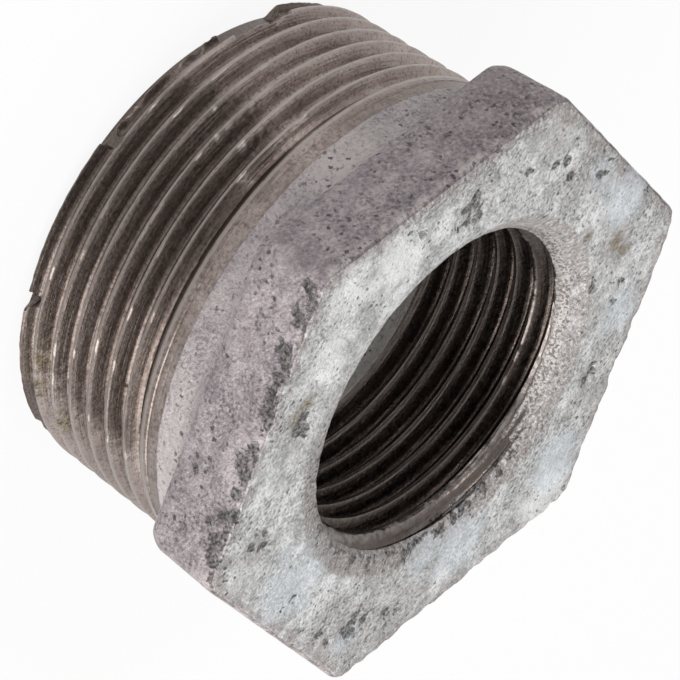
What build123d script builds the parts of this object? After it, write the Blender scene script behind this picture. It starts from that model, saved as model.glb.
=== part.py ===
from build123d import *
import os
from math import atan, degrees, radians, tan

# Hexagon reducing bush, one iron casting. Millimetres; the male end stands on Z = 0, the hexagon is on top.

# Whole piece
length = 31.0                  # male end face to hexagon face

# Hexagon head, drawn from the mould towards its face
hex_across_flats = 52.0        # at the hexagon face
hex_height = 8.0
hex_draft = 3.5                # degrees, the head narrows towards the barrel
hex_corner_radius = 2.8
hex_face_chamfer = 0.5
hex_back_chamfer = 0.5         # round the back of the head

# As-cast neck between the head and the turned barrel
neck_diameter = 48.6
neck_height = 4.0
neck_seam_chamfer = 0.6        # where the neck runs into the underside of the head

# Male taper pipe thread, size 1 1/2, over its crests
male_gauge_diameter = 47.803   # crest diameter at the gauge plane
male_gauge_length = 12.7       # small end to gauge plane
male_taper = 1 / 16            # on diameter
thread_pitch = 2.309
thread_depth = 1.479
thread_flank_angle = 27.5      # degrees, each flank from square to the axis
thread_root_flat = 0.385
thread_lead_in = 2.164         # the groove first crosses +X this far below the male end
runout_turns = 1.5             # the groove climbs out of the iron over these last turns
plain_band_height = 1.5        # least turned band between the run-out and the neck
lead_chamfer_angle = 52.0      # degrees from the axis
lead_chamfer_clearance = 0.7   # the chamfer ends this far below the thread roots

# Female parallel pipe thread, size 1, over its crests
female_minor_diameter = 30.291
female_thread_end = 16.4       # below the hexagon face
mouth_diameter = 34.2          # bevel at the hexagon face
mouth_bevel_angle = 45.0       # degrees from the axis

# Cored recess behind the female thread, open at the male end
recess_diameter = 34.6
recess_shoulder_angle = 45.0   # degrees from the axis
recess_edge_break = 0.5

# Heights above the male end
hex_seat = length - hex_height
hex_flat_height = hex_height - hex_back_chamfer
hex_draft_inset = hex_flat_height * tan(radians(hex_draft))
barrel_top = hex_seat - neck_height
mouth_bevel_foot = length - (mouth_diameter - female_minor_diameter) / 2 / tan(radians(mouth_bevel_angle))
female_thread_foot = length - female_thread_end
shoulder_drop = (recess_diameter - female_minor_diameter) / 2 / tan(radians(recess_shoulder_angle))
recess_top = female_thread_foot - shoulder_drop

# Male thread: whole turns at full depth, then the run-out
runout_height = runout_turns * thread_pitch
full_turns = (barrel_top - plain_band_height - runout_height + thread_lead_in) // thread_pitch
groove_start = -thread_lead_in
groove_full_top = groove_start + full_turns * thread_pitch
taper_angle = degrees(atan(male_taper / 2))
runout_angle = degrees(atan(male_taper / 2 + thread_depth / runout_height))
groove_overcut = 0.6           # the cutter stands this far out of the crests
spare_stock = thread_lead_in + thread_pitch


def crest_radius(height):
    """Radius over the male crests at a height above the male end."""
    return (male_gauge_diameter + (height - male_gauge_length) * male_taper) / 2


end_face_radius = crest_radius(0) - thread_depth - lead_chamfer_clearance
lead_chamfer_reach = 3 * thread_depth
groove_root_half = thread_root_flat / 2
groove_top_half = groove_root_half + (thread_depth + groove_overcut) * tan(radians(thread_flank_angle))

with BuildPart() as hex_bushing:
    # barrel with spare stock below the male end, and the cast neck up into the head
    with BuildSketch(Plane.XZ):
        with BuildLine():
            Polyline(
                (0, -spare_stock),
                (crest_radius(-spare_stock), -spare_stock),
                (crest_radius(barrel_top), barrel_top),
                (neck_diameter / 2, barrel_top),
                (neck_diameter / 2, length - hex_height / 2),
                (0, length - hex_height / 2),
                close=True,
            )
        make_face()
    revolve(axis=Axis.Z)

    # male thread: a right-hand groove at full depth, then its run-out, each cut along a conical helix
    for foot, height, cone in (
        (groove_start, groove_full_top - groove_start, taper_angle),
        (groove_full_top, runout_height, runout_angle),
    ):
        with BuildLine():
            helix = Helix(thread_pitch, height, crest_radius(foot), center=(0, 0, foot), cone_angle=cone)
        with BuildSketch(Plane(origin=helix @ 0, x_dir=(1, 0, 0), z_dir=(0, 1, 0))):
            with BuildLine():
                Polyline(
                    (-thread_depth, -groove_root_half),
                    (groove_overcut, -groove_top_half),
                    (groove_overcut, groove_top_half),
                    (-thread_depth, groove_root_half),
                    close=True,
                )
            make_face()
        sweep(path=helix, is_frenet=True, mode=Mode.SUBTRACT)

    # male end faced off through the thread, with its lead chamfer
    with BuildSketch(Plane.XZ):
        with BuildLine():
            Polyline(
                (0, 0),
                (end_face_radius, 0),
                (end_face_radius + lead_chamfer_reach * tan(radians(lead_chamfer_angle)), lead_chamfer_reach),
                (neck_diameter, lead_chamfer_reach),
                (neck_diameter, -2 * spare_stock),
                (0, -2 * spare_stock),
                close=True,
            )
        make_face()
    revolve(axis=Axis.Z, mode=Mode.SUBTRACT)

    # hexagon head, rounded at its corners, with a slight chamfer round its face
    with BuildSketch(Plane.XY.offset(length)):
        RegularPolygon(radius=hex_across_flats / 2, side_count=6, major_radius=False, rotation=30)
        fillet(vertices(), radius=hex_corner_radius)
    extrude(amount=-hex_flat_height, taper=hex_draft)
    chamfer(faces().sort_by(Axis.Z)[-1].edges(), length=hex_face_chamfer)

    # the head's back edge, broken all round
    with BuildSketch(Plane.XY.offset(length - hex_flat_height)):
        RegularPolygon(radius=hex_across_flats / 2 - hex_draft_inset, side_count=6, major_radius=False, rotation=30)
        fillet(vertices(), radius=hex_corner_radius - hex_draft_inset)
    extrude(amount=-hex_back_chamfer, taper=45)

    # seam between the neck and the underside of the head
    head_underside = faces().filter_by(Plane.XY).sort_by(Axis.Z)[-2]
    neck_seam = head_underside.edges().filter_by(GeomType.CIRCLE).sort_by(SortBy.RADIUS)[-1]
    chamfer(neck_seam, length=neck_seam_chamfer)

    # bore: mouth bevel, thread crests, shoulder, cored recess
    with BuildSketch(Plane.XZ):
        with BuildLine():
            Polyline(
                (0, 0),
                (recess_diameter / 2 + recess_edge_break, 0),
                (recess_diameter / 2, recess_edge_break),
                (recess_diameter / 2, recess_top),
                (female_minor_diameter / 2, female_thread_foot),
                (female_minor_diameter / 2, mouth_bevel_foot),
                (mouth_diameter / 2, length),
                (0, length),
                close=True,
            )
        make_face()
    revolve(axis=Axis.Z, mode=Mode.SUBTRACT)

hex_bushing.part.label = "hex_bushing"

os.makedirs("parts", exist_ok=True)
export_step(hex_bushing.part, "parts/hex_bushing.step")
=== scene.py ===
import math
import random

import bmesh
import bpy
from mathutils import Matrix, Vector, noise


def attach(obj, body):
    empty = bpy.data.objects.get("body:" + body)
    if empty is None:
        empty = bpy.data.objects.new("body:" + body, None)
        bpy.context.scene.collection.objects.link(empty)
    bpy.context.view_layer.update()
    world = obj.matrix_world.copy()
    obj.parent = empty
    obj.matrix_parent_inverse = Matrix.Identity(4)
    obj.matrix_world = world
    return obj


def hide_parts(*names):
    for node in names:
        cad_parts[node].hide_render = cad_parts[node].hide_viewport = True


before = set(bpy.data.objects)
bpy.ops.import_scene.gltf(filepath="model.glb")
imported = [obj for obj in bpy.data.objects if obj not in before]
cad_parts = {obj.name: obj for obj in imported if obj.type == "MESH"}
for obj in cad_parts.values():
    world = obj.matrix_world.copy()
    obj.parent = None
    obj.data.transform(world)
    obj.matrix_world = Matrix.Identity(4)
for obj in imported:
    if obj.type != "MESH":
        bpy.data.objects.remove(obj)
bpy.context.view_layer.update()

# Hexagon reducing bush, galvanised malleable iron. Lengths in the dictionaries are millimetres.
# The male end stands on the floor, the hexagon face is on top, and the bore runs along Z.

turn = 2 * math.pi
millimetre = 0.001


def clamp(value, low=0.0, high=1.0):
    return max(low, min(high, value))


def blendTo(a, b, t):
    return a + (b - a) * clamp(t)


def softStep(low, high, value):
    t = clamp((value - low) / (high - low))
    return t * t * (3 - 2 * t)


def softMin(a, b, k):
    h = clamp(0.5 + 0.5 * (b - a) / k)
    return b + (a - b) * h - k * h * (1 - h)


def softMax(a, b, k):
    return -softMin(-a, -b, k)


def onCircle(theta, r):
    return r * math.cos(theta), r * math.sin(theta)


def lumps(x, y, z, size, seed=0.0):  # smooth noise of about -1 to 1, with lumps of one size
    return noise.noise(Vector((x / size + seed, y / size - seed, z / size + 0.37 * seed)))


def angleFrom(theta, degreesAt):  # signed degrees round the axis from a given direction
    return (math.degrees(theta) - degreesAt + 180) % 360 - 180


def towards(x, y, direction):  # 1 on the side that faces a direction in degrees, -1 on the other
    return math.cos(math.atan2(y, x) - math.radians(direction))


# The casting

bush = {
    "columns": 360,             # round the axis, sixty to a side of the hexagon
    "cornerColumns": 6,         # of them, on each half of a rounded corner
    "length": 31.0,
    "acrossFlats": 52.0,        # at the hexagon face
    "headHeight": 8.0,
    "headDraft": 3.5,           # degrees
    "cornerRadius": 2.8,
    "leastCorner": 0.6,
    "neckRadius": 24.3,
    "neckEdge": 19.0,           # height where the cast neck meets the turned band
    "neckSwell": 0.05,
    "neckLip": 0.14,            # the cast skin thins out by this much towards the turned band
    "neckLipFade": 9,
    "gaugeRadius": 23.9015,     # over the crests at the gauge plane
    "gaugeHeight": 12.7,
    "taper": 1 / 32,            # on radius
    "crestWear": 0.10,          # the worn crests stand this far inside the gauge cone
    "pitch": 2.309,
    "threadDepth": 1.479,
    "rootHalf": 0.1925,
    "flankRise": 1.921,         # radial rise for each millimetre along the axis, in the bore
    "wornRise": 1.78,           # the same for the worn flanks of the male thread
    "maleStart": -2.164,        # groove centre at the +X side
    "rootRound": 0.2,           # how softly the flanks run into the root, and into the crest
    "crestRound": 0.06,
    "runoutFrom": 15.0,
    "runoutHeight": 2.6,
    "runoutFlank": 0.45,        # least share of the flank's rise in the run-out
    "bandFrom": 17.45,          # turned band between the thread and the cast neck
    "bandGap": 0.1,             # the band ends this far below the cast neck's edge
    "bandScores": ((17.6, 0.14, 0.10), (18.3, 0.08, 0.03)),  # height, width and depth of its score lines
    "threadLean": 0.28,         # the thread runs this far out of square with the hexagon
    "endRadius": 21.1,
    "leadSlope": 1.28,          # tangent of the lead chamfer, 52 degrees from the axis
    "tornTo": 3.6,              # height below which the first turns may be torn
    "tornRadius": 22.8,
    "tornSlope": 2.8,
    "tearBlend": 0.8,           # degrees over which one tear passes into the next
    "front": 273.0,             # direction that the marks and tears are given from, degrees
    "markedRadius": 23.6,       # where the marks of the barrel are centred
    "boreCrest": 15.1455,
    "boreCrestRound": 0.12,
    "castBoreRadius": 15.0,
    "bellRise": 2.65,           # the cast mouth stands this far outside the cast bore
    "bellHeight": 1.35,
    "bellShift": 0.3,           # share by which the mouth is wider on one side
    "bellTowards": 165.0,       # and the direction of that side, degrees
    "mouthDepth": 1.25,         # the cast mouth is left unmachined down to here
    "boreStart": 24.749,        # groove centre of the bore thread at the +X side
    "boreThreadFoot": 14.6,
    "recessRadius": 17.3,
    "recessBreak": 0.5,
    "castRough": 0.07,          # how far the cast skin wanders
    "flatScaleDepth": 0.28,     # depth of a scale mark on the flats, and on the hexagon face
    "faceScaleDepth": 0.3,
    "frontChipDrop": 0.8,       # how far a chip pulls an edge of the head down, for each of its depth
    "backChipDrop": -0.4,
    "backInset": 0.5,           # where the back of the head begins, inside the outline
    "backHole": 24.96,
    "faceInset": 0.8,           # where the hexagon face begins, and the circle round its mouth
    "faceHole": 18.6,
    "seamHeight": 1.1,          # the neck curves out into the head over this height
    "outsideFrom": 20.5,        # radii that part the outside, the hexagon face and the bore
    "boreTo": 18.2,
}

roughness = {  # shares of castRough; a negative one wanders outwards
    "seam": 1.1, "neck": 1.3, "head": 1.1, "face": 1.0, "mouth": 0.8, "core": -0.8,
}

rows = {  # where the rings of the casting's skin lie; phases are shares of the pitch
    "maleEnd": (19.0, 20.2),
    "malePhases": (0.0, 0.08, 0.17, 0.25, 0.33, 0.4, 0.45, 0.5, 0.55, 0.6, 0.67, 0.75, 0.83, 0.92),
    "band": (0.0, 0.06, 0.12, 0.2, 0.3, 0.45, 0.55, 0.65, 0.8, 1.0),
    "neck": (0.0, 0.05, 0.12, 0.25, 0.4, 0.55, 0.7, 0.85, 1.0),
    "seam": ((24.47, 22.15), (24.57, 22.4), (24.72, 22.65), (24.92, 22.87)),    # radius and height
    "backEdge": ((0.4, 23.12, 0.02), (0.24, 23.3, 0.06), (0.1, 23.6, 0.08), (0.02, 23.95, 0.05)),
    "frontEdge": ((0.04, 30.45, 0.1), (0.12, 30.65, 0.2), (0.26, 30.82, 0.26)),  # inset, height, chipping
    "faceEdge": (0.46, 30.93, 0.26),
    "flatFrom": 23.95,
    "flatTo": 30.2,
    "flatCount": 13,
    "faceCount": 18,
    "mouthEdge": ((18.3, 30.93), (18.05, 30.85), (17.8, 30.76)),
    "boreTop": 30.65,
    "borePhases": (0.0, 0.09, 0.19, 0.28, 0.36, 0.43, 0.5, 0.57, 0.64, 0.72, 0.81, 0.91),
    "shoulder": ((15.5, 14.1), (16.4, 13.3), (17.1, 12.75), (17.3, 12.2)),
    "recess": (11.0, 9.0, 7.0, 5.0, 3.0, 1.5),
}

columns = bush["columns"]
length = bush["length"]
pitch = bush["pitch"]
headFoot = length - bush["headHeight"]
mouthFoot = length - bush["mouthDepth"]

barrelNoise = 24    # radii where the noise of the barrel and of the bore is read
boreNoise = 16
rowSnap = 0.06      # rows of a thread nearer than this to its end lie on the end

galvanised, paleFace, turnedThread, boreThread, coredSkin = range(5)

tornTurn = (  # from and to in degrees from the front, the height where the first turn begins, its lip
    (-180, -120, 1.0, 0.1), (-120, -58, 0.9, 0.3), (-58, -40, 3.0, 0.0), (-40, -6, 1.35, 0.1),
    (-6, -2.5, 2.8, 0.0), (-2.5, 36, 0.9, 0.3), (36, 39, 2.0, 0.0), (39, 76, 0.7, 0.5),
    (76, 110, 1.0, 0.2), (110, 180, 1.2, 0.1),
)

faceMarks = {  # patches on the hexagon face: x, y, spread, how many marks, and their radius
    "scale": (
        (10.6, -17.9, 1.5, 6, 0.80), (6.5, -20.8, 1.0, 2, 0.45), (20.2, -13.4, 1.6, 5, 0.60),
        (22.8, -1.6, 1.9, 6, 0.55), (-22.7, -8.2, 1.9, 5, 0.70), (-13.4, -16.4, 2.1, 13, 0.70),
        (-19.3, -12.2, 0.8, 2, 0.55), (-24.0, -1.2, 1.3, 3, 0.60), (-25.0, 7.4, 0.3, 1, 0.70),
        (-16.7, 14.4, 1.0, 2, 0.60), (-18.5, -5.2, 0.3, 1, 0.60), (-8.7, -20.8, 1.6, 4, 0.60),
        (20.6, 9.6, 1.6, 6, 0.75), (17.8, 15.2, 1.6, 5, 0.65), (23.7, 6.8, 1.1, 4, 0.65),
        (23.0, 14.8, 1.4, 2, 0.60), (-8.8, 19.6, 1.0, 3, 0.70), (4.2, 23.9, 0.3, 1, 0.60),
        (-16.0, 9.8, 1.6, 2, 0.60),
    ),
    "rust": ((9.5, -20.3, 0.9, 3, 0.80), (-19.6, 9.4, 1.5, 4, 0.90), (-18.4, 3.5, 0.7, 2, 0.60)),
    "bloom": (
        (20.8, -4.4, 2.4, 2, 3.8), (11.0, 18.0, 2.2, 2, 3.0), (-1.5, 24.4, 1.8, 2, 3.2),
        (-22.7, 3.5, 4.0, 3, 2.6), (-15.9, 16.5, 0.3, 1, 2.5), (22.5, 10.8, 0.3, 1, 1.5),
    ),
    "pale": (
        (-0.6, -24.8, 0.1, 1, 3.9), (-5.9, -21.9, 0.1, 1, 2.8), (1.5, 26.7, 0.1, 1, 3.0),
        (4.3, -21.5, 0.1, 1, 2.2),
    ),
    "dull": (
        (-24.0, -3.5, 0.1, 1, 4.1), (-19.4, 8.8, 0.1, 1, 3.0), (-9.2, 20.7, 0.1, 1, 3.9),
        (22.7, 10.0, 0.1, 1, 5.3), (10.6, -19.1, 0.1, 1, 2.8), (17.4, 16.1, 0.1, 1, 3.9),
        (-23.3, -12.6, 0.1, 1, 2.5), (-14.5, -17.3, 0.1, 1, 2.6), (20.8, -12.5, 0.1, 1, 2.5),
        (-18.5, 17.3, 0.1, 1, 2.1),
    ),
}

flatMarks = {  # the same on two flats, by facing: distance along, and depth below the hexagon face
    300: (
        (-11.2, 3.8, 1.0, 3, 0.42), (-3.4, 10.0, 1.3, 2, 0.38), (-4.6, 3.8, 1.4, 5, 0.38),
        (2.9, 4.2, 0.9, 3, 0.46), (5.4, 5.8, 1.0, 4, 0.50), (8.9, 2.7, 0.8, 2, 0.50),
        (11.5, 5.7, 0.7, 2, 0.46),
    ),
    240: (
        (-10.0, 5.0, 0.9, 4, 0.46), (-9.4, 1.2, 1.5, 5, 0.40), (-5.6, 5.2, 1.4, 5, 0.44),
        (-3.0, 6.7, 0.9, 4, 0.36), (-3.1, 3.1, 0.8, 3, 0.42), (2.5, 2.1, 1.4, 3, 0.40),
        (-8.2, 7.2, 0.7, 2, 0.40),
    ),
}
edgeChips = {  # a row along the front edge of one flat
    "facing": 300,
    "from": -14.6,
    "to": 13.4,
    "count": 30,
    "depth": (0.3, 1.7),
    "radius": (0.55, 1.1),
}

barrelMarks = {  # degrees from the front, height above the male end, and radius
    "rust": ((50.0, 4.0, 1.6), (58.0, 2.6, 1.6), (66.0, 6.0, 1.8)),
    # the bright marks are painted highlights along the crests
    "bright": (
        (-18.5, 12.7, 0.45), (-17.0, 10.2, 0.35), (-20.5, 10.5, 0.4), (-13.0, 15.4, 0.7),
        (-22.0, 8.0, 0.35), (-9.0, 8.2, 0.4), (-5.0, 4.0, 0.35), (-24.0, 13.0, 0.5), (-27.0, 10.6, 0.5),
    ),
}


def onFlat(facing, along, depth):
    out = bush["acrossFlats"] / 2 - depth * math.tan(math.radians(bush["headDraft"]))
    return Matrix.Rotation(math.radians(facing), 3, "Z") @ Vector((out, along, length - depth))


def scatter(patches, pick):  # every mark of some patches, as its place and its radius
    for u, v, away, count, r in patches:
        for mark in range(count):
            yield pick.gauss(u, away * 0.6), pick.gauss(v, away * 0.6), r * pick.uniform(0.75, 1.2)


def placeMarks(kind):  # every mark of one kind as a point and a radius
    pick = random.Random(kind)
    placed = [(Vector((u, v, length)), r) for u, v, r in scatter(faceMarks.get(kind, ()), pick)]
    if kind == "scale":
        for facing, patches in flatMarks.items():
            placed += [(onFlat(facing, u, v), r) for u, v, r in scatter(patches, pick)]
        count = edgeChips["count"]
        for k in range(count):
            along = blendTo(edgeChips["from"], edgeChips["to"], (k + pick.random()) / count)
            spot = onFlat(edgeChips["facing"], along, pick.uniform(*edgeChips["depth"]))
            placed.append((spot, pick.uniform(*edgeChips["radius"])))
    for at, z, r in barrelMarks.get(kind, ()):
        theta = math.radians(bush["front"] + at)
        placed.append((Vector((*onCircle(theta, bush["markedRadius"]), z)), r))
    return placed


marks = {kind: placeMarks(kind) for kind in ("scale", "rust", "bloom", "bright", "pale", "dull")}


def markShare(kind, x, y, z):
    share = 0.0
    for centre, r in marks[kind]:
        if abs(x - centre.x) < 2 * r and abs(y - centre.y) < 2 * r and abs(z - centre.z) < 2 * r:
            away = math.dist((x, y, z), centre) / r + 0.55 * lumps(x, y, z, 0.45 * r + 0.25, 14.0)
            share = max(share, 1 - softStep(0.45, 1.25, away))
    return share


def crestAt(z):
    return bush["gaugeRadius"] + (z - bush["gaugeHeight"]) * bush["taper"]


def hexRadius(a, apothem, corner):  # a is the angle from the nearest flat's normal
    flatEnd = math.atan((apothem - corner) * math.tan(math.radians(30)) / apothem)
    if abs(a) <= flatEnd:
        return apothem / math.cos(a)
    b = math.radians(30) - abs(a)
    centre = (apothem - corner) / math.cos(math.radians(30))
    return centre * math.cos(b) + math.sqrt(corner ** 2 - (centre * math.sin(b)) ** 2)


def headAngle(column):  # columns crowd towards the rounded corners of the hexagon
    perSide = columns // 6
    side = round(column / perSide)
    step = column - side * perSide
    half = perSide // 2
    flatColumns = half - bush["cornerColumns"]
    apothem = bush["acrossFlats"] / 2
    flatEnd = math.atan((apothem - bush["cornerRadius"]) * math.tan(math.radians(30)) / apothem)
    if abs(step) <= flatColumns:
        a = abs(step) / flatColumns * flatEnd
    else:
        a = flatEnd + (abs(step) - flatColumns) / (half - flatColumns) * (math.radians(30) - flatEnd)
    a = math.copysign(a, step)
    return side * math.radians(60) + a, a


def castSkin(x, y, z, amount=1.0):  # inward wander of the cast skin
    wide = lumps(x, y, z, 6.0, 3.1)
    middle = lumps(x, y, z, 2.2, 7.7)
    fine = lumps(x, y, z, 0.9, 1.3)
    return bush["castRough"] * amount * (0.9 + 0.5 * wide + 0.45 * middle + 0.35 * fine)


def edgeChip(x, y, z, amount):  # the edges of the head are nibbled
    wide = lumps(x, y, z, 2.6, 41.0)
    fine = lumps(x, y, z, 0.8, 43.0)
    return amount * clamp(0.35 + 0.7 * wide + 0.6 * fine, 0.0, 1.3)


def toothHeight(theta, z, start):  # distance from the nearest groove centre, along the axis
    turns = (z - start) / pitch - theta / turn
    return abs(turns - round(turns)) * pitch


def threadLean(theta):
    return -bush["threadLean"] * math.sin(theta - math.radians(bush["front"]))


def noLean(theta):
    return 0.0


def tearAt(theta):  # where the first turn begins, and how far it stands out of the lead chamfer
    at = angleFrom(theta, bush["front"])
    height = lip = weight = 0.0
    blend = bush["tearBlend"]
    for low, high, begins, proud in tornTurn:
        share = softStep(low - blend, low + blend, at) * (1 - softStep(high - blend, high + blend, at))
        height += share * begins
        lip += share * proud
        weight += share
    x, y = onCircle(theta, barrelNoise)
    wander = 0.28 * lumps(x, y, 0, 1.7, 2.0) + 0.16 * lumps(x, y, 0, 0.6, 6.0)
    return (height / weight + wander, lip / weight) if weight > 0.01 else (1.2 + wander, 0.1)


def maleRadius(theta, z):
    crest = crestAt(z) - bush["crestWear"]
    x, y = onCircle(theta, barrelNoise)
    share = clamp(1 - (z - bush["runoutFrom"]) / bush["runoutHeight"])
    u = toothHeight(theta, z - threadLean(theta), bush["maleStart"])
    flank = bush["wornRise"] * max(share, bush["runoutFlank"])
    rise = softMax((u - bush["rootHalf"]) * flank, 0, bush["rootRound"])
    chipped = max(0.0, lumps(x, y, z, 1.5, 12.0) - 0.5) * 0.7 + 0.03 * lumps(x, y, z, 0.7, 5.0)
    r = softMin(crest - max(0.0, chipped), crest - bush["threadDepth"] * share + rise, bush["crestRound"])
    r += 0.02 * lumps(x, y, z * 4, 1.0, 9.0)
    if z < bush["tornTo"]:
        begins, lip = tearAt(theta)
        lead = bush["endRadius"] + z * bush["leadSlope"] + 0.1 * lumps(x, y, z, 0.8, 8.0)
        torn = bush["tornRadius"] + lip + (z - begins) * bush["tornSlope"]
        torn += 0.12 * lumps(x, y, z, 0.5, 3.0)
        r = min(r, lead + 0.2 + lip * softStep(0.3, 0.9, z), max(torn, bush["endRadius"] + 0.3 * z))
    return r if z > 0 else min(r, bush["endRadius"])


def neckEdge(theta):
    x, y = onCircle(theta, barrelNoise)
    return bush["neckEdge"] + 0.12 * lumps(x, y, 0, 3.0, 4.4) + 0.06 * lumps(x, y, 0, 0.9, 4.4)


def castBore(x, y, z):  # the bore as it was cast, with a bell mouth a little off centre
    aside = towards(x, y, bush["bellTowards"])
    skin = 0.09 * lumps(x, y, z, 1.3, 31.0) + 0.08 * lumps(x, y, z, 0.55, 11.0)
    bell = bush["bellRise"] * math.exp(-(length - z) / bush["bellHeight"])
    return bush["castBoreRadius"] + bell * (1 + bush["bellShift"] * aside) + skin


def boreRadius(theta, z):
    x, y = onCircle(theta, boreNoise)
    u = toothHeight(theta, z, bush["boreStart"])
    depth = bush["threadDepth"] * softStep(bush["boreThreadFoot"], bush["boreThreadFoot"] + 0.5, z)
    fall = softMax((u - bush["rootHalf"]) * bush["flankRise"], 0, bush["rootRound"])
    r = softMax(bush["boreCrest"], bush["boreCrest"] + depth - fall, bush["boreCrestRound"])
    r += 0.02 * lumps(x, y, z, 0.9, 17.0)
    return max(r, castBore(x, y, z))


class CastingGrid:  # closed skin of rings, from the male end over the head and back down the bore

    def __init__(self):
        self.points = []
        self.faces = []
        self.finishes = []
        self.lastRing = None

    def addPoint(self, x, y, z):
        self.points.append((x * millimetre, y * millimetre, z * millimetre))
        return len(self.points) - 1

    def addRing(self, pointOf, finish):  # pointOf(column) gives x, y, z
        ring = [self.addPoint(*pointOf(c)) for c in range(columns)]
        ring.append(ring[0])
        self.join(ring, finish)

    def join(self, ring, finish):
        if self.lastRing is None:
            self.firstRing = ring
        else:
            for c in range(columns):
                self.faces.append((self.lastRing[c], self.lastRing[c + 1], ring[c + 1], ring[c]))
                self.finishes.append(finish)
        self.lastRing = ring

    def addThread(self, low, high, phases, start, leanOf, radiusOf, finish, upward):
        first = math.floor((low - start) / pitch) - 2
        last = math.ceil((high - start) / pitch) + 1
        grid = []  # its lines follow the helix
        for t, p in [(t, p) for t in range(first, last + 1) for p in phases]:
            line = []
            for c in range(columns):
                theta = turn * c / columns
                z = start + pitch * (t + p + c / columns) + leanOf(theta)
                z = low if z < low + rowSnap else high if z > high - rowSnap else z
                r = radiusOf(theta, z)
                line.append(self.addPoint(*onCircle(theta, r), z))
            grid.append(line)
        for k, line in enumerate(grid):
            line.append(grid[min(k + len(phases), len(grid) - 1)][0])
        for line in grid if upward else grid[::-1]:
            self.join(line, finish)

    def close(self, finish):
        self.join(self.firstRing, finish)


def flatRing(radius, z, rough=0.0):  # plain ring, or one with a little cast wander
    def pointOf(c):
        theta = turn * c / columns
        r = radius - castSkin(*onCircle(theta, radius), z, rough)
        return *onCircle(theta, r), z
    return pointOf


def bandRing(share):  # the turned band, from the thread's end to the cast neck's edge
    def pointOf(c):
        theta = turn * c / columns
        z = blendTo(bush["bandFrom"], neckEdge(theta) - bush["bandGap"], share)
        scored = sum(depth * math.exp(-((z - at) / wide) ** 2) for at, wide, depth in bush["bandScores"])
        return *onCircle(theta, crestAt(z) - bush["crestWear"] - scored), z
    return pointOf


def neckRing(share):
    def pointOf(c):
        theta = turn * c / columns
        z = blendTo(neckEdge(theta), headFoot - bush["seamHeight"], share)
        lip = bush["neckLip"] * math.exp(-share * bush["neckLipFade"])
        dent = castSkin(*onCircle(theta, bush["neckRadius"]), z, roughness["neck"])
        return *onCircle(theta, bush["neckRadius"] + bush["neckSwell"] - lip - dent), z
    return pointOf


def headOutline(a, inset, z):  # radius of the hexagon at a height, drawn in by an inset
    apothem = bush["acrossFlats"] / 2 - (length - z) * math.tan(math.radians(bush["headDraft"])) - inset
    return hexRadius(a, apothem, max(bush["leastCorner"], bush["cornerRadius"] - inset))


def headRing(inset, z, chip=0.0):
    def pointOf(c):
        theta, a = headAngle(c)
        r = headOutline(a, inset, z)
        x, y = onCircle(theta, r)
        chipped = edgeChip(x, y, z, chip)
        dent = castSkin(x, y, z, roughness["head"])
        dent += bush["flatScaleDepth"] * markShare("scale", x, y, z) + chipped
        drop = bush["frontChipDrop"] if z > rows["flatTo"] else bush["backChipDrop"]
        return *onCircle(theta, r - dent), z - chipped * drop
    return pointOf


def faceRing(inset, share, level, circle, rough):  # part of the way from the head's outline to a circle
    def pointOf(c):
        theta, a = headAngle(c)
        edge = Vector(onCircle(theta, headOutline(a, inset, level)))
        inner = Vector(onCircle(turn * c / columns, circle))
        x, y = edge.lerp(inner, share)
        if not rough:
            return x, y, level
        dent = castSkin(x, y, level, rough) + bush["faceScaleDepth"] * markShare("scale", x, y, level)
        dent += edgeChip(x, y, level, 0.22) * (1 - softStep(0.0, 0.14, share))
        return x, y, level - dent
    return pointOf


def addBarrel(skin):  # the male end, the thread, the turned band and the cast neck
    for r in (bush["recessRadius"] + bush["recessBreak"], *rows["maleEnd"], bush["endRadius"]):
        skin.addRing(flatRing(r, 0.0), coredSkin)
    skin.addThread(
        0.0, bush["bandFrom"], rows["malePhases"], bush["maleStart"], threadLean, maleRadius,
        turnedThread, True)
    for share in rows["band"]:
        skin.addRing(bandRing(share), turnedThread)
    for share in rows["neck"]:
        skin.addRing(neckRing(share), galvanised)
    for r, z in rows["seam"]:
        skin.addRing(flatRing(r, z, roughness["seam"]), galvanised)


def addHead(skin):  # the back of the head, its flats and the hexagon face
    for share in (1.0, 0.5, 0.0):
        skin.addRing(faceRing(bush["backInset"], share, headFoot, bush["backHole"], 0.0), galvanised)
    for inset, z, chip in rows["backEdge"]:
        skin.addRing(headRing(inset, z, chip), galvanised)
    low, high, count = rows["flatFrom"], rows["flatTo"], rows["flatCount"]
    for k in range(1, count + 1):
        skin.addRing(headRing(0.0, low + (high - low) * k / count), galvanised)
    for inset, z, chip in rows["frontEdge"]:
        skin.addRing(headRing(inset, z, chip), galvanised)
    skin.addRing(headRing(*rows["faceEdge"]), paleFace)
    for k in range(rows["faceCount"] + 1):
        share = k / rows["faceCount"]
        ring = faceRing(bush["faceInset"], share, length, bush["faceHole"], roughness["face"])
        skin.addRing(ring, paleFace)


def addBore(skin):  # the cast mouth, the female thread and the cored recess
    for r, z in rows["mouthEdge"]:
        skin.addRing(flatRing(r, z, roughness["mouth"]), paleFace)
    skin.addThread(
        bush["boreThreadFoot"], rows["boreTop"], rows["borePhases"], bush["boreStart"], noLean, boreRadius,
        boreThread, False)
    for r, z in rows["shoulder"]:
        skin.addRing(flatRing(r, z, roughness["core"]), coredSkin)
    for z in (*rows["recess"], bush["recessBreak"]):
        skin.addRing(flatRing(bush["recessRadius"], z, roughness["core"]), coredSkin)


def buildCasting():
    skin = CastingGrid()
    addBarrel(skin)
    addHead(skin)
    addBore(skin)
    skin.close(coredSkin)
    for k, corners in enumerate(skin.faces):
        lowest = min(skin.points[c][2] for c in corners)
        if skin.finishes[k] == boreThread and lowest > mouthFoot * millimetre:
            skin.finishes[k] = paleFace  # the bell mouth keeps its cast skin
    return skin
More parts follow.
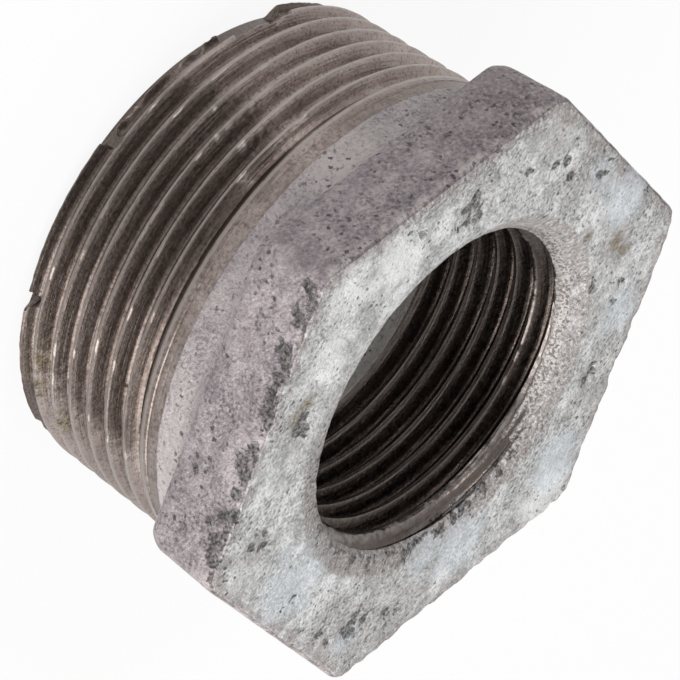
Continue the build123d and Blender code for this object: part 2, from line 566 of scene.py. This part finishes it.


# Marks, wear, and painted light and shade

wearAndLight = {  # pairs are where a change begins and ends; degrees are from the front, the rest millimetres
    "crestPolish": (0.10, 0.26),    # along the axis from the middle of a crest
    "crestDepth": (-0.5, -0.15),    # from the gauge cone
    "shadeMiddle": 14,               # painted shade: the male thread is painted dark on this side, standing in for a dark reflection
    "shadeHalf": (28, 52),
    "shadeWander": 12,
    # the male thread is darker towards the male end
    "endDarker": (1.2, 2.2),
    "topShadeFade": (16.3, 17.4),
    "bandFilm": 0.4,
    "crestHidden": 0.45,              # share of the polish that the film and the painted shade hide
    # painted light: the cast neck's paler tone is painted lighter round one side, with a painted highlight
    # patch
    "neckLeast": 0.27,
    "neckRise": 0.6,
    "neckFrom": (0, 80),
    "neckBack": (110, 180),
    "neckHighlight": (0.4, -28, 12),    # strength, middle and width
    # painted shade: the flats on one side of the head are darkened by direction
    "flatShade": (0.55, -62, 24),
    "flatTop": 30.4,
    "boreCrest": (0.12, 0.34),
    "firstCrest": (27.6, 28.6),
    # a painted sheen lightens the first crest band of the bore
    "firstSheen": (27.9, 28.4),
    "firstSheenFade": (28.7, 29.2),
    "castCover": (0.48, 0.66),      # where the cast mouth stands clear of the crests
    "castReach": (-0.12, -0.02),
    "castTowards": 170,             # directions from +X, degrees
    "rimTowards": 40,
    "crumbsTowards": 20,
    "crumbs": (15.8, 19.0),         # radii between which the mouth may crumble, and the lowest height
    "crumbsFrom": 29.5,
    "crumbsInner": (16.0, 16.6),    # where the crumbs thicken and thin out again
    "crumbsOuter": (17.0, 18.2),
    "mouthFrom": 15.5,
    "rim": (18.1, 19.0),
    "edge": (0.5, 2.2),             # inside the outline of the hexagon
    "edgeFrom": 30.6,
    "nicks": (30.4, 30.8),          # heights of the bright nicks on the edge of the head
    "nicksOutside": 20,
    "brokenFrom": (29.6, 30.4),     # heights on the chipped flat
    "brokenInside": (0.3, 0.8, 1.2),
    "brokenHalf": 14.5,
}


def bump(at, strength, middle, width):  # a bell curve round the axis
    return strength * math.exp(-((at - middle) / width) ** 2)


def outlineGap(x, y):  # how far inside the outline of the hexagon
    nearest = (math.degrees(math.atan2(y, x)) + 30) % 60 - 30
    return bush["acrossFlats"] / 2 - math.hypot(x, y) * math.cos(math.radians(nearest))


def crumbledMouth(x, y, z):  # dark crumbs on the bevel of the cast mouth
    r = math.hypot(x, y)
    low, high = wearAndLight["crumbs"]
    if not low < r < high or z < wearAndLight["crumbsFrom"]:
        return 0.0
    side = softStep(-0.2, 0.8, towards(x, y, wearAndLight["crumbsTowards"]))
    ring = softStep(*wearAndLight["crumbsInner"], r)
    ring *= 1 - softStep(*wearAndLight["crumbsOuter"], r + 0.7 * lumps(x, y, z, 1.3, 61.0))
    return ring * side * clamp(0.6 + 1.1 * lumps(x, y, z, 0.8, 63.0) + 0.9 * lumps(x, y, z, 0.45, 64.0))


def brokenEdge(x, y, z):  # the front edge of the chipped flat is knocked dark
    facing = math.radians(edgeChips["facing"])
    inward = bush["acrossFlats"] / 2 - x * math.cos(facing) - y * math.sin(facing)
    along = y * math.cos(facing) - x * math.sin(facing)
    near, far, end = wearAndLight["brokenInside"]
    if z < wearAndLight["brokenFrom"][0] or inward > end or abs(along) > wearAndLight["brokenHalf"]:
        return 0.0
    worn = 0.55 + 0.6 * lumps(x, y, z, 1.1, 27.0)
    high = softStep(*wearAndLight["brokenFrom"], z + 0.5 * lumps(x, y, 0, 1.6, 28.0))
    return clamp(worn * high * (1 - softStep(near, far, inward)))


def paintMarks(mesh):  # scale, rust and bloom, as one attribute
    layer = mesh.attributes.new("marks", "FLOAT_COLOR", "POINT")
    for vertex, shade in zip(mesh.vertices, layer.data):
        x, y, z = vertex.co / millimetre
        scale, rust, bloom = (markShare(kind, x, y, z) for kind in ("scale", "rust", "bloom"))
        scale = max(scale, brokenEdge(x, y, z), crumbledMouth(x, y, z))
        shade.color = (scale, rust, bloom, 1.0)


def threadPolishAndShade(x, y, z, r, theta, at):  # polish on the male thread, and painted shade on one side of it, darker towards the male end
    u = toothHeight(theta, z - threadLean(theta), bush["maleStart"])
    polish = 1 - softStep(*wearAndLight["crestPolish"], pitch / 2 - u)
    polish *= softStep(*wearAndLight["crestDepth"], r - crestAt(z))
    astray = wearAndLight["shadeWander"] * lumps(x, y, z, 9.0, 33.0)
    filmAndShade = 1 - softStep(*wearAndLight["shadeHalf"], abs(at - wearAndLight["shadeMiddle"]) + astray)
    filmAndShade = max(filmAndShade, 1 - softStep(*wearAndLight["endDarker"], z)) * (1 - 0.5 * softStep(*wearAndLight["topShadeFade"], z))
    return polish, filmAndShade


# painted light and a painted highlight round the cast neck
def neckPaintedLight(at):
    raised = softStep(*wearAndLight["neckFrom"], at) * (1 - softStep(*wearAndLight["neckBack"], at))
    return wearAndLight["neckLeast"] + wearAndLight["neckRise"] * raised + bump(at, *wearAndLight["neckHighlight"])


def boreWearAndSheen(x, y, z, r, theta):  # polish, film, and a painted sheen on the first crest band, in the bore
    u = toothHeight(theta, z, bush["boreStart"])
    polish = 1 - softStep(*wearAndLight["boreCrest"], pitch / 2 - u)
    polish = max(polish, 0.5 * softStep(*wearAndLight["firstCrest"], z))
    cast = castBore(x, y, z)
    filmAndShade = softStep(*wearAndLight["castCover"], cast - bush["boreCrest"]) * softStep(*wearAndLight["castReach"], cast - r)
    filmAndShade *= softStep(-0.1, 0.5, towards(x, y, wearAndLight["castTowards"]))
    return polish, filmAndShade, 0.2 * softStep(*wearAndLight["firstSheen"], z) * (1 - softStep(*wearAndLight["firstSheenFade"], z))


def faceWear(x, y, z, r):  # film and bright on the hexagon face, round its mouth and its edge
    rim = 1 - softStep(*wearAndLight["rim"], r + 0.8 * lumps(x, y, z, 1.1, 19.0))
    rim *= softStep(-1.0, 0.4, towards(x, y, wearAndLight["rimTowards"]))
    edge = 1 - softStep(*wearAndLight["edge"], outlineGap(x, y) + 2.2 * lumps(x, y, z, 1.4, 51.0))
    filmAndShade = max(rim, 0.6 * markShare("dull", x, y, z), edge if z > wearAndLight["edgeFrom"] else 0.0)
    bright = 0.6 * markShare("pale", x, y, z)
    if r > wearAndLight["nicksOutside"]:
        nicked = softStep(-0.1, 0.3, lumps(x, y, z, 1.0, 53.0))
        bright += 0.7 * nicked * (1 - softStep(*wearAndLight["nicks"], z))
    return filmAndShade, bright


def wearAndPaintedLightAt(x, y, z):
    r = math.hypot(x, y)
    theta = math.atan2(y, x)
    at = angleFrom(theta, bush["front"])
    outside = r > bush["outsideFrom"]
    polish = filmAndShade = 0.0
    bright = markShare("bright", x, y, z)
    if outside and z < bush["bandFrom"] + 0.05:
        # painted shade on one side of the male thread
        polish, filmAndShade = threadPolishAndShade(x, y, z, r, theta, at)
    elif outside and z < bush["neckEdge"]:
        filmAndShade = wearAndLight["bandFilm"]
    elif outside and z < headFoot:
        # painted light on the cast neck
        bright = neckPaintedLight(at)
    elif outside and z < wearAndLight["flatTop"]:
        # painted shade on the flats of one side of the head
        filmAndShade = bump(at, *wearAndLight["flatShade"])
    elif r < bush["boreTo"] and z > bush["boreThreadFoot"]:
        polish, filmAndShade, bright = boreWearAndSheen(x, y, z, r, theta)
    if r > wearAndLight["mouthFrom"] and z > mouthFoot:
        stainAndShade, bright = faceWear(x, y, z, r)
        filmAndShade = max(filmAndShade, stainAndShade)
    return polish * (1 - wearAndLight["crestHidden"] * filmAndShade), filmAndShade, bright


def paintWearAndLight(mesh):  # polished crests, the film over the metal and painted shade, and bright marks with painted highlights and light, as one attribute
    layer = mesh.attributes.new("wearAndLight", "FLOAT_COLOR", "POINT")
    for vertex, shade in zip(mesh.vertices, layer.data):
        shade.color = (*wearAndPaintedLightAt(*(vertex.co / millimetre)), 1.0)


def makePiece(name, skin, finishes):
    mesh = bpy.data.meshes.new(name)
    mesh.from_pydata(skin.points, [], skin.faces)
    for finish in finishes:
        mesh.materials.append(finish)
    mesh.polygons.foreach_set("material_index", skin.finishes)
    work = bmesh.new()
    work.from_mesh(mesh)
    bmesh.ops.remove_doubles(work, verts=work.verts, dist=2e-6)
    bmesh.ops.dissolve_degenerate(work, edges=work.edges, dist=1e-6)
    bmesh.ops.recalc_face_normals(work, faces=work.faces)
    work.to_mesh(mesh)
    work.free()
    mesh.shade_smooth()
    mesh.set_sharp_from_angle(angle=math.radians(50))
    paintMarks(mesh)
    paintWearAndLight(mesh)
    piece = bpy.data.objects.new(name, mesh)
    bpy.context.scene.collection.objects.link(piece)
    return piece


# Finishes

finish = {
    "galvanisedSkin": {
        "base": (0.188, 0.158, 0.17),
        "pale": (0.385, 0.335, 0.345),
        "dark": (0.03, 0.023, 0.025),
        "stainAndShade": (0.16, 0.13, 0.135),
        "bright": (0.50, 0.455, 0.44),
        "mottle": 0.75,
        "grain": 0.85,
        "pits": 0.27,
        "metallic": 0.35,
        "rough": 0.5,
    },
    "hexagonFace": {
        "base": (0.34, 0.34, 0.335),
        "pale": (0.72, 0.72, 0.72),
        "dark": (0.06, 0.06, 0.055),
        "stainAndShade": (0.35, 0.32, 0.31),
        "bright": (0.8, 0.8, 0.79),
        "mottle": 0.9,
        "grain": 0.9,
        "pits": 0.24,
        "metallic": 0.5,
        "rough": 0.5,
    },
    "coredSkin": {
        "base": (0.30, 0.28, 0.27),
        "pale": (0.42, 0.40, 0.38),
        "dark": (0.06, 0.05, 0.045),
        "stainAndShade": (0.2, 0.18, 0.17),
        "bright": (0.5, 0.5, 0.5),
        "mottle": 0.6,
        "grain": 0.7,
        "pits": 0.28,
        "metallic": 0.6,
        "rough": 0.6,
    },
    "turnedThread": {
        "flank": (0.375, 0.315, 0.292),
        "oily": (0.26, 0.21, 0.19),
        "crest": (0.35, 0.31, 0.29),
        # film colours; on the male thread they paint the dark shade on one side
        "filmAndShade": (0.107, 0.083, 0.071),
        "filmDark": (0.08, 0.06, 0.05),
        "filmShare": 0.9,
        "metallic": 1.0,
        "filmMetallic": 1.0,
        "rough": 0.38,
        "filmRough": 0.4,
        "filmBump": 0.5,
        "paintedHighlight": (0.62, 0.58, 0.57),
    },
    "boreThread": {
        "flank": (0.065, 0.05, 0.042),
        "oily": (0.04, 0.03, 0.025),
        "crest": (0.14, 0.12, 0.11),
        "filmAndShade": (0.55, 0.52, 0.50),
        "filmDark": (0.14, 0.12, 0.115),
        "filmShare": 1.0,
        "metallic": 1.0,
        "filmMetallic": 0.4,
        "rough": 0.3,
        "filmRough": 0.55,
        "filmBump": 1.6,
        "paintedHighlight": (0.7, 0.66, 0.65),
    },
}
scaleColours = ((0.012, 0.011, 0.01), (0.085, 0.08, 0.076))
rustColours = ((0.10, 0.075, 0.05), (0.30, 0.25, 0.18))
bloomColour = (0.62, 0.67, 0.72)
castScales = {"wide": 130, "mottle": 430, "grain": 1500, "fine": 2900, "cells": 1250.0, "crowd": 240}
cutScales = {"scored": (70, 70, 4200), "patches": 130, "grain": 1500, "fine": 3400}
speckScale = 3200


def node(tree, kind, **values):
    made = tree.nodes.new(kind)
    for key, value in values.items():
        if key in made.inputs:
            made.inputs[key].default_value = value
        else:
            setattr(made, key, value)
    return made


def noiseAt(tree, place, scale, detail=4.0, rough=0.55):
    made = node(tree, "ShaderNodeTexNoise", Scale=scale, Detail=detail, Roughness=rough)
    tree.links.new(place, made.inputs["Vector"])
    return made.outputs["Fac"]


def spread(tree, value, low, high, toLow=0.0, toHigh=1.0):
    made = node(tree, "ShaderNodeMapRange")
    for key, number in (("From Min", low), ("From Max", high), ("To Min", toLow), ("To Max", toHigh)):
        made.inputs[key].default_value = number
    tree.links.new(value, made.inputs["Value"])
    return made.outputs["Result"]


def sums(tree, operation, first, second):
    made = node(tree, "ShaderNodeMath", operation=operation)
    for socket, value in zip(made.inputs, (first, second)):
        if isinstance(value, float):
            socket.default_value = value
        else:
            tree.links.new(value, socket)
    return made.outputs[0]


def mixColour(tree, share, first, second):
    made = node(tree, "ShaderNodeMix", data_type="RGBA")
    for socket, value in ((made.inputs[6], first), (made.inputs[7], second)):
        if isinstance(value, tuple):
            socket.default_value = (*value, 1)
        else:
            tree.links.new(value, socket)
    tree.links.new(share, made.inputs[0])
    return made.outputs[2]


def painted(tree, name):  # the three channels of a painted attribute
    source = node(tree, "ShaderNodeAttribute", attribute_name=name)
    split = node(tree, "ShaderNodeSeparateColor")
    tree.links.new(source.outputs["Color"], split.inputs[0])
    return split.outputs[0], split.outputs[1], split.outputs[2]


def stretched(tree, place, scale):
    made = node(tree, "ShaderNodeMapping", Scale=scale)
    tree.links.new(place, made.inputs["Vector"])
    return made.outputs["Vector"]


def newFinish(name, look):
    made = bpy.data.materials.new(name)
    made.use_nodes = True
    tree = made.node_tree
    shader = tree.nodes["Principled BSDF"]
    shader.inputs["Metallic"].default_value = look["metallic"]
    place = node(tree, "ShaderNodeTexCoord").outputs["Object"]
    return made, tree, shader, place


def bumpFrom(tree, shader, height, strength, distance):
    made = node(tree, "ShaderNodeBump", Strength=strength, Distance=distance * millimetre)
    tree.links.new(height, made.inputs["Height"])
    tree.links.new(made.outputs["Normal"], shader.inputs["Normal"])


def addMarks(tree, colour, place, grain):
    scale, rust, bloom = painted(tree, "marks")
    fine = spread(tree, noiseAt(tree, place, speckScale, 2.0, 0.6), 0.38, 0.62)
    broken = sums(tree, "ADD", sums(tree, "MULTIPLY", scale, 0.42), grain)
    thinned = spread(tree, fine, 0.0, 1.0, 1.0, 0.6)
    ragged = sums(tree, "MULTIPLY", spread(tree, broken, 0.68, 0.76), thinned)
    colour = mixColour(tree, sums(tree, "MULTIPLY", bloom, 0.45), colour, bloomColour)
    rustColour = mixColour(tree, fine, rustColours[0], rustColours[1])
    rusty = sums(tree, "MULTIPLY", rust, spread(tree, grain, 0.36, 0.52, 0.2, 1.0))
    colour = mixColour(tree, rusty, colour, rustColour)
    scaleColour = mixColour(tree, fine, scaleColours[0], scaleColours[1])
    return mixColour(tree, sums(tree, "MULTIPLY", ragged, 0.95), colour, scaleColour)


def makeCastFinish(name):
    look = finish[name]
    made, tree, shader, place = newFinish(name, look)
    filmAndShade, bright = painted(tree, "wearAndLight")[1:]
    wide = spread(tree, noiseAt(tree, place, castScales["wide"], 3.0, 0.6), 0.38, 0.62)
    mottle = spread(tree, noiseAt(tree, place, castScales["mottle"], 5.0, 0.68), 0.4, 0.6)
    grain = noiseAt(tree, place, castScales["grain"], 5.0, 0.7)
    fine = noiseAt(tree, place, castScales["fine"], 3.0, 0.65)
    cells = node(tree, "ShaderNodeTexVoronoi", Scale=castScales["cells"])
    tree.links.new(place, cells.inputs["Vector"])
    crowd = spread(tree, noiseAt(tree, place, castScales["crowd"], 2.0), 0.42, 0.60)
    near = sums(tree, "ADD", cells.outputs["Distance"], spread(tree, fine, 0.3, 0.7, -0.16, 0.16))
    pits = sums(tree, "MULTIPLY", spread(tree, near, look["pits"], look["pits"] - 0.12), crowd)
    dirty = spread(tree, bright, 0.0, 1.0, 1.0, 0.3)
    busy = sums(tree, "MULTIPLY", spread(tree, wide, 0.0, 1.0, 1.0, 0.35), dirty)
    colour = mixColour(tree, sums(tree, "MULTIPLY", mottle, look["mottle"]), look["pale"], look["base"])
    colour = mixColour(tree, spread(tree, wide, 0.6, 0.0, 0.0, 0.45), colour, look["base"])
    # the stain colour also paints the shade on one side of the flats
    colour = mixColour(tree, filmAndShade, colour, look["stainAndShade"])
    colour = mixColour(tree, bright, colour, look["bright"])
    specks = sums(tree, "MULTIPLY", spread(tree, fine, 0.52, 0.3, 0.0, look["grain"]), busy)
    colour = mixColour(tree, specks, colour, look["dark"])
    colour = mixColour(tree, spread(tree, fine, 0.54, 0.72, 0.0, 0.6), colour, look["bright"])
    colour = mixColour(tree, spread(tree, grain, 0.42, 0.3, 0.0, look["grain"]), colour, look["dark"])
    colour = mixColour(tree, sums(tree, "MULTIPLY", pits, 0.85), colour, look["dark"])
    colour = addMarks(tree, colour, place, grain)
    tree.links.new(colour, shader.inputs["Base Color"])
    rough = spread(tree, grain, 0.3, 0.7, look["rough"] + 0.1, look["rough"] - 0.1)
    tree.links.new(rough, shader.inputs["Roughness"])
    height = sums(tree, "SUBTRACT", sums(tree, "ADD", fine, grain), sums(tree, "MULTIPLY", pits, 0.4))
    bumpFrom(tree, shader, height, 0.9, 0.22)
    return made


def makeCutFinish(name):
    look = finish[name]
    made, tree, shader, place = newFinish(name, look)
    polish, filmAndShade, bright = painted(tree, "wearAndLight")
    scored = noiseAt(tree, stretched(tree, place, cutScales["scored"]), 1.0, 3.0, 0.6)
    grain = noiseAt(tree, place, cutScales["grain"], 4.0, 0.65)
    fine = noiseAt(tree, place, cutScales["fine"], 2.0, 0.6)
    patches = spread(tree, noiseAt(tree, place, cutScales["patches"], 3.0), 0.4, 0.6)
    colour = mixColour(tree, patches, look["oily"], look["flank"])
    # on the male thread this film colour paints shade
    filmAndShadeColour = mixColour(tree, spread(tree, fine, 0.42, 0.54), look["filmDark"], look["filmAndShade"])
    uneven = spread(tree, grain, 0.3, 0.7, -0.25, 0.25)
    ragged = spread(tree, sums(tree, "ADD", filmAndShade, uneven), 0.25, 0.75)
    covered = sums(tree, "MULTIPLY", ragged, look["filmShare"])
    colour = mixColour(tree, covered, colour, filmAndShadeColour)
    colour = mixColour(tree, spread(tree, scored, 0.45, 0.72, 0.0, 0.3), colour, look["crest"])
    colour = mixColour(tree, spread(tree, fine, 0.5, 0.3, 0.0, 0.6), colour, look["filmDark"])
    if look["filmMetallic"] != look["metallic"]:
        metallic = spread(tree, covered, 0.0, 1.0, look["metallic"], look["filmMetallic"])
        tree.links.new(metallic, shader.inputs["Metallic"])
    shown = sums(tree, "MULTIPLY", polish, spread(tree, grain, 0.3, 0.5, 0.5, 1.0))
    colour = mixColour(tree, shown, colour, look["crest"])
    colour = addMarks(tree, colour, place, grain)
    # painted highlights, from the bright channel
    highlightShare = sums(tree, "MULTIPLY", bright, spread(tree, grain, 0.35, 0.6))
    colour = mixColour(tree, highlightShare, colour, look["paintedHighlight"])
    tree.links.new(colour, shader.inputs["Base Color"])
    rough = spread(tree, covered, 0.0, 1.0, look["rough"], look["filmRough"])
    rough = sums(tree, "ADD", rough, spread(tree, grain, 0.3, 0.7, 0.08, -0.08))
    tree.links.new(rough, shader.inputs["Roughness"])
    weight = spread(tree, covered, 0.0, 1.0, 0.5, look["filmBump"])
    coarse = sums(tree, "MULTIPLY", sums(tree, "ADD", fine, grain), weight)
    bumpFrom(tree, shader, sums(tree, "ADD", scored, coarse), 0.6, 0.09)
    return made


finishes = [
    makeCastFinish("galvanisedSkin"),
    makeCastFinish("hexagonFace"),
    makeCutFinish("turnedThread"),
    makeCutFinish("boreThread"),
    makeCastFinish("coredSkin"),
]
print("finishes made")

casting = makePiece("bush_casting", buildCasting(), finishes)
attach(casting, "root")
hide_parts("hex_bushing")
print("casting made:", sum(len(f.vertices) - 2 for f in casting.data.polygons), "triangles")


# Floor, light and camera

studio = {
    "floorSize": 4.0,
    "floorLevel": -0.00004,     # just clear of the male end face
    "floorColour": 0.82,
    "floorRoughness": 0.9,
    "floorGlow": 0.9,           # share of plain white in what the camera sees of the floor
    "worldStrength": 0.5,       # what lights the bush; mirrors and the camera see 1
    "keyPower": 12.5,
    "keySize": 1.0,
    "keyPlace": (0.85, -0.24, 0.40),
    "smallPower": 1.35,
    "smallSize": 0.2,
    "smallPlace": (-0.33, -0.43, 0.58),
    "lampAim": (0, 0, 0.015),
    "lens": 290.96,
    "sensorWidth": 36,
    "cameraPlace": (0.021668, -0.422355, 0.252558),
    "cameraTurn": (             # rows of its rotation
        (-0.58804, -0.80775, 0.04192),
        (0.36998, -0.31471, -0.87411),
        (0.71925, -0.4985, 0.48391),
    ),
}


def seenDirectly(tree):  # 1 for the camera and for mirrors
    rays = node(tree, "ShaderNodeLightPath")
    either = sums(tree, "MAXIMUM", rays.outputs["Is Camera Ray"], rays.outputs["Is Glossy Ray"])
    return sums(tree, "MAXIMUM", either, rays.outputs["Is Transmission Ray"])


def makeFloor():
    mesh = bpy.data.meshes.new("floor")
    half = studio["floorSize"] / 2
    corners = [(x * half, y * half, studio["floorLevel"]) for x, y in ((-1, -1), (1, -1), (1, 1), (-1, 1))]
    mesh.from_pydata(corners, [], [(0, 1, 2, 3)])
    floor = bpy.data.objects.new("floor", mesh)
    bpy.context.scene.collection.objects.link(floor)
    white = bpy.data.materials.new("floorWhite")
    white.use_nodes = True
    tree = white.node_tree
    shader = tree.nodes["Principled BSDF"]
    shader.inputs["Base Color"].default_value = (*[studio["floorColour"]] * 3, 1)
    shader.inputs["Roughness"].default_value = studio["floorRoughness"]
    glow = node(tree, "ShaderNodeEmission", Color=(1, 1, 1, 1), Strength=1.0)
    mix = node(tree, "ShaderNodeMixShader")
    tree.links.new(sums(tree, "MULTIPLY", seenDirectly(tree), studio["floorGlow"]), mix.inputs[0])
    tree.links.new(shader.outputs[0], mix.inputs[1])
    tree.links.new(glow.outputs[0], mix.inputs[2])
    tree.links.new(mix.outputs[0], tree.nodes["Material Output"].inputs["Surface"])
    mesh.materials.append(white)


def makeWorld():
    world = bpy.data.worlds.new("studio")
    world.use_nodes = True
    tree = world.node_tree
    sky = tree.nodes["Background"]
    sky.inputs["Color"].default_value = (1, 1, 1, 1)
    strength = spread(tree, seenDirectly(tree), 0.0, 1.0, studio["worldStrength"], 1.0)
    tree.links.new(strength, sky.inputs["Strength"])
    bpy.context.scene.world = world


def makeLamp(name, place, size, power):
    data = bpy.data.lights.new(name, "AREA")
    data.shape = "DISK"
    data.size = size
    data.energy = power
    lamp = bpy.data.objects.new(name, data)
    lamp.location = place
    beam = Vector(studio["lampAim"]) - Vector(place)
    lamp.rotation_euler = beam.to_track_quat("-Z", "Y").to_euler()
    bpy.context.scene.collection.objects.link(lamp)


def makeCamera():
    data = bpy.data.cameras.new("camera")
    data.lens = studio["lens"]
    data.sensor_width = studio["sensorWidth"]
    camera = bpy.data.objects.new("camera", data)
    turned = Matrix(studio["cameraTurn"]).to_4x4()
    camera.matrix_world = Matrix.Translation(studio["cameraPlace"]) @ turned
    bpy.context.scene.collection.objects.link(camera)
    bpy.context.scene.camera = camera


makeFloor()
makeWorld()
makeLamp("keyLamp", studio["keyPlace"], studio["keySize"], studio["keyPower"])
makeLamp("smallLamp", studio["smallPlace"], studio["smallSize"], studio["smallPower"])
makeCamera()
bpy.context.scene.view_settings.view_transform = "Standard"
print("studio ready")
